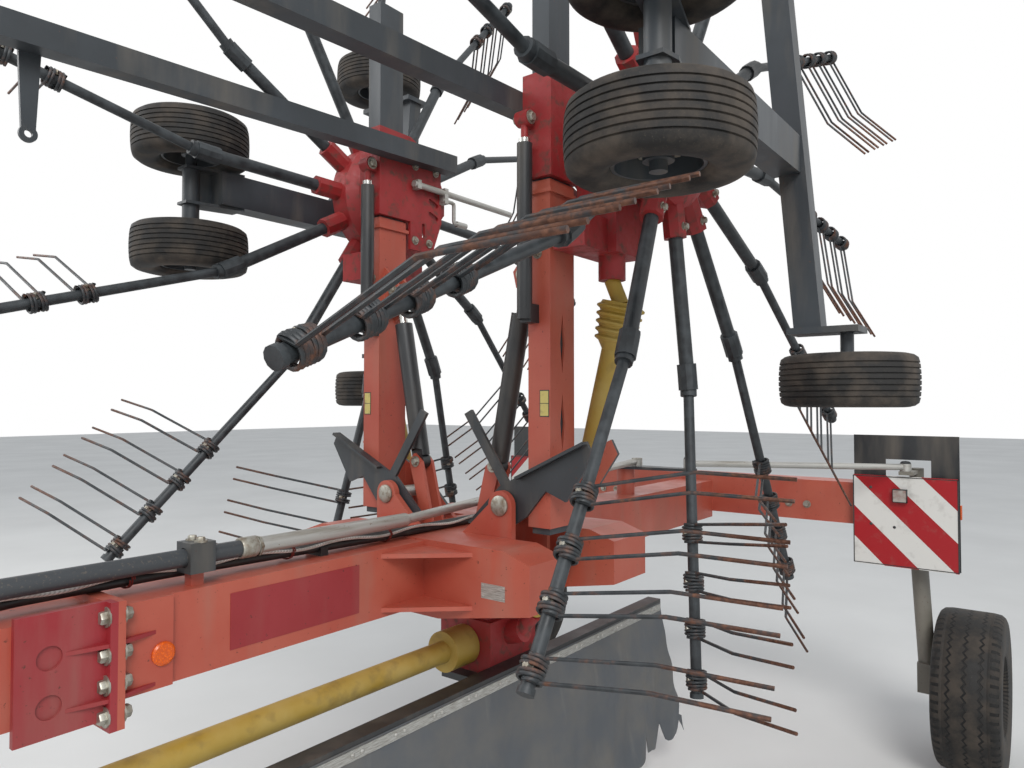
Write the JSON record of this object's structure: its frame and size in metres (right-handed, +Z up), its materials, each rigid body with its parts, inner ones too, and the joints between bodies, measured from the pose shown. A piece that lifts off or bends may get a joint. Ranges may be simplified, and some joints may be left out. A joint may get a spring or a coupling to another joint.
{
  "type": "folded twin-rotor trailed rotary rake",
  "caption": "Trailed hay rake parked on its jack, with both tined rotors folded upright on telescopic arms above a steered axle.",
  "frame": {"origin": "ground under the middle of the machine", "axes": "+X towards the drawbar, +Y to the left, +Z up"},
  "size_m": [6.275, 2.76, 4.1337],
  "materials": {
    "red_paint": "orange-red gloss enamel, dulled and rust-spotted",
    "grey_paint": "dark blue-grey enamel, scuffed",
    "black_paint": "black enamel on cylinders",
    "steel_rod": "hard chrome on piston rods",
    "bare_steel": "zinc plated or worn bright",
    "casting": "cast iron under orange-red paint",
    "tine_steel": "tube and spring wire under dark grey paint, worn at the tips",
    "tyre": "worn rubber with brown dust",
    "hose_rubber": "black rubber hoses in plastic clips",
    "guard_plastic": "dull yellow moulded guard",
    "sheet": "coated grey cloth with a torn corner",
    "board_face": "red and white slanted stripes",
    "lamp_plastic": "red lamp lens"
  },
  "bodies": {
    "frame": {"main_beam": "red_paint", "front_beam": "red_paint", "hinge_base": "red_paint", "hoses": "hose_rubber", "fold_pins": "bare_steel", "jack_tube": "grey_paint", "drive_guards": "guard_plastic", "centre_gearbox": "casting", "curtain_channel": "grey_paint", "curtain": "sheet", "board_backs": "grey_paint", "board_panels": "board_face", "board_lamps": "lamp_plastic"},
    "jack": {"jack_leg": "bare_steel"},
    "headstock": {"headstock": "red_paint"},
    "steer_rod": {"steering_rod": "bare_steel"},
    "relay": {"relay": "grey_paint"},
    "track_rod_left": {"track_rod_left": "bare_steel"},
    "knuckle_left": {"knuckle_left": "grey_paint"},
    "main_wheel_left": {"main_tyre_left": "tyre", "main_rim_left": "grey_paint"},
    "arm_left": {"arm_left": "red_paint", "extend_barrel_left": "black_paint"},
    "fold_barrel_left": {"fold_barrel_left": "black_paint"},
    "fold_rod_left": {"fold_rod_left": "steel_rod"},
    "stage_left": {"extend_stage_left": "steel_rod"},
    "carrier_left": {"slide_tube_left": "grey_paint", "gear_housing_left": "casting", "shaft_guard_left": "guard_plastic", "chassis_left": "grey_paint"},
    "rotor_left": {"rotor_hub_left": "casting", "tine_arms_left": "tine_steel"},
    "twin_wheels_left": {"twin_tyres_left": "tyre", "twin_rims_left": "grey_paint"},
    "rear_wheel_lower_left": {"rear_tyre_lower_left": "tyre", "rear_rim_lower_left": "grey_paint"},
    "rear_wheel_upper_left": {"rear_tyre_upper_left": "tyre", "rear_rim_upper_left": "grey_paint"},
    "track_rod_right": {"track_rod_right": "bare_steel"},
    "knuckle_right": {"knuckle_right": "grey_paint"},
    "main_wheel_right": {"main_tyre_right": "tyre", "main_rim_right": "grey_paint"},
    "arm_right": {"arm_right": "red_paint", "extend_barrel_right": "black_paint"},
    "fold_barrel_right": {"fold_barrel_right": "black_paint"},
    "fold_rod_right": {"fold_rod_right": "steel_rod"},
    "stage_right": {"extend_stage_right": "steel_rod"},
    "carrier_right": {"slide_tube_right": "grey_paint", "gear_housing_right": "casting", "shaft_guard_right": "guard_plastic", "chassis_right": "grey_paint"},
    "rotor_right": {"rotor_hub_right": "casting", "tine_arms_right": "tine_steel"},
    "twin_wheels_right": {"twin_tyres_right": "tyre", "twin_rims_right": "grey_paint"},
    "rear_wheel_lower_right": {"rear_tyre_lower_right": "tyre", "rear_rim_lower_right": "grey_paint"},
    "rear_wheel_upper_right": {"rear_tyre_upper_right": "tyre", "rear_rim_upper_right": "grey_paint"}
  },
  "joints": [
    {"name": "headstock_yaw", "type": "hinge", "parent": "frame", "child": "headstock", "pos_m": [2.8625, 0, 0.68], "axis": [0, 0, 1], "range_deg": [-60, 60]},
    {"name": "jack_lift", "type": "slide", "parent": "frame", "child": "jack", "axis": [0, 0, 1], "range_m": [0, 0.45]},
    {"name": "steer_rod_slide", "type": "slide", "parent": "frame", "child": "steer_rod", "axis": [1, 0, 0], "range_m": [-0.0075, 0.0075]},
    {"name": "relay_turn", "type": "hinge", "parent": "frame", "child": "relay", "pos_m": [-1.8875, 0, 1.341], "axis": [0, 0, 1], "range_deg": [-6.9, 6.9]},
    {"name": "knuckle_steer_left", "type": "hinge", "parent": "frame", "child": "knuckle_left", "pos_m": [-2.7475, 1.045, 1.157], "axis": [0, 0, 1], "range_deg": [-20, 20]},
    {"name": "track_rod_swing_left", "type": "hinge", "parent": "knuckle_left", "child": "track_rod_left", "pos_m": [-2.6275, 1.02, 1.342], "axis": [0, 0, 1], "range_deg": [-23.6, 23.6]},
    {"name": "main_wheel_spin_left", "type": "hinge", "parent": "knuckle_left", "child": "main_wheel_left", "pos_m": [-2.7875, 1.25, 0.35], "axis": [0, 1, 0], "continuous": true},
    {"name": "fold_left", "type": "hinge", "parent": "frame", "child": "arm_left", "pos_m": [-0.7525, 0.25, 1.32], "axis": [-1, 0, 0], "range_deg": [0, 90]},
    {"name": "fold_barrel_turn_left", "type": "hinge", "parent": "frame", "child": "fold_barrel_left", "pos_m": [-0.7425, 0.17, 1.43], "axis": [-1, 0, 0], "range_deg": [0, 89.6]},
    {"name": "fold_rod_slide_left", "type": "slide", "parent": "fold_barrel_left", "child": "fold_rod_left", "axis": [0, 0.1882, 0.9821], "range_m": [0, 0.1925]},
    {"name": "carrier_slide_left", "type": "slide", "parent": "arm_left", "child": "carrier_left", "axis": [0, 0, 1], "range_m": [0, 0.92]},
    {"name": "stage_slide_left", "type": "slide", "parent": "arm_left", "child": "stage_left", "axis": [0, 0, 1], "range_m": [0, 0.46]},
    {"name": "rotor_spin_left", "type": "hinge", "parent": "carrier_left", "child": "rotor_left", "pos_m": [-0.9825, 0.56, 2.46], "axis": [0, 1, 0], "continuous": true},
    {"name": "twin_wheels_spin_left", "type": "hinge", "parent": "carrier_left", "child": "twin_wheels_left", "pos_m": [-0.3175, 0.945, 2.395], "axis": [0, 0, 1], "continuous": true},
    {"name": "rear_wheel_lower_spin_left", "type": "hinge", "parent": "carrier_left", "child": "rear_wheel_lower_left", "pos_m": [-1.3575, 1.075, 1.7], "axis": [0, 0, 1], "continuous": true},
    {"name": "rear_wheel_upper_spin_left", "type": "hinge", "parent": "carrier_left", "child": "rear_wheel_upper_left", "pos_m": [-1.3575, 1.075, 3.22], "axis": [0, 0, 1], "continuous": true},
    {"name": "knuckle_steer_right", "type": "hinge", "parent": "frame", "child": "knuckle_right", "pos_m": [-2.7475, -1.045, 1.157], "axis": [0, 0, 1], "range_deg": [-20, 20]},
    {"name": "track_rod_swing_right", "type": "hinge", "parent": "knuckle_right", "child": "track_rod_right", "pos_m": [-2.6275, -1.02, 1.342], "axis": [0, 0, 1], "range_deg": [-23.6, 23.6]},
    {"name": "main_wheel_spin_right", "type": "hinge", "parent": "knuckle_right", "child": "main_wheel_right", "pos_m": [-2.7875, -1.25, 0.35], "axis": [0, 1, 0], "continuous": true},
    {"name": "fold_right", "type": "hinge", "parent": "frame", "child": "arm_right", "pos_m": [-0.7525, -0.25, 1.32], "axis": [1, 0, 0], "range_deg": [0, 90]},
    {"name": "fold_barrel_turn_right", "type": "hinge", "parent": "frame", "child": "fold_barrel_right", "pos_m": [-0.7425, -0.17, 1.43], "axis": [1, 0, 0], "range_deg": [0, 89.6]},
    {"name": "fold_rod_slide_right", "type": "slide", "parent": "fold_barrel_right", "child": "fold_rod_right", "axis": [0, -0.1882, 0.9821], "range_m": [0, 0.1925]},
    {"name": "carrier_slide_right", "type": "slide", "parent": "arm_right", "child": "carrier_right", "axis": [0, 0, 1], "range_m": [0, 0.92]},
    {"name": "stage_slide_right", "type": "slide", "parent": "arm_right", "child": "stage_right", "axis": [0, 0, 1], "range_m": [0, 0.46]},
    {"name": "rotor_spin_right", "type": "hinge", "parent": "carrier_right", "child": "rotor_right", "pos_m": [-0.9825, -0.56, 2.46], "axis": [0, 1, 0], "continuous": true},
    {"name": "twin_wheels_spin_right", "type": "hinge", "parent": "carrier_right", "child": "twin_wheels_right", "pos_m": [-0.3175, -0.945, 2.395], "axis": [0, 0, 1], "continuous": true},
    {"name": "rear_wheel_lower_spin_right", "type": "hinge", "parent": "carrier_right", "child": "rear_wheel_lower_right", "pos_m": [-1.3575, -1.075, 1.7], "axis": [0, 0, 1], "continuous": true},
    {"name": "rear_wheel_upper_spin_right", "type": "hinge", "parent": "carrier_right", "child": "rear_wheel_upper_right", "pos_m": [-1.3575, -1.075, 3.22], "axis": [0, 0, 1], "continuous": true}
  ],
  "couplings": [
    {"joint": "steer_rod_slide", "follows": "headstock_yaw", "m_per_rad": 0.00656},
    {"joint": "relay_turn", "follows": "headstock_yaw", "ratio": -0.1131},
    {"joint": "knuckle_steer_left", "follows": "headstock_yaw", "ratio": -0.33333},
    {"joint": "track_rod_swing_left", "follows": "headstock_yaw", "ratio": 0.392},
    {"joint": "fold_barrel_turn_left", "follows": "fold_left", "ratio": 0.995},
    {"joint": "fold_rod_slide_left", "follows": "fold_left", "m_per_rad": 0.1224},
    {"joint": "carrier_slide_left", "follows": "fold_left", "m_per_rad": 0.585},
    {"joint": "stage_slide_left", "follows": "fold_left", "m_per_rad": 0.2925},
    {"joint": "knuckle_steer_right", "follows": "headstock_yaw", "ratio": -0.33333},
    {"joint": "track_rod_swing_right", "follows": "headstock_yaw", "ratio": 0.392},
    {"joint": "fold_barrel_turn_right", "follows": "fold_right", "ratio": 0.995},
    {"joint": "fold_rod_slide_right", "follows": "fold_right", "m_per_rad": 0.1224},
    {"joint": "carrier_slide_right", "follows": "fold_right", "m_per_rad": 0.585},
    {"joint": "stage_slide_right", "follows": "fold_right", "m_per_rad": 0.2925}
  ]
}
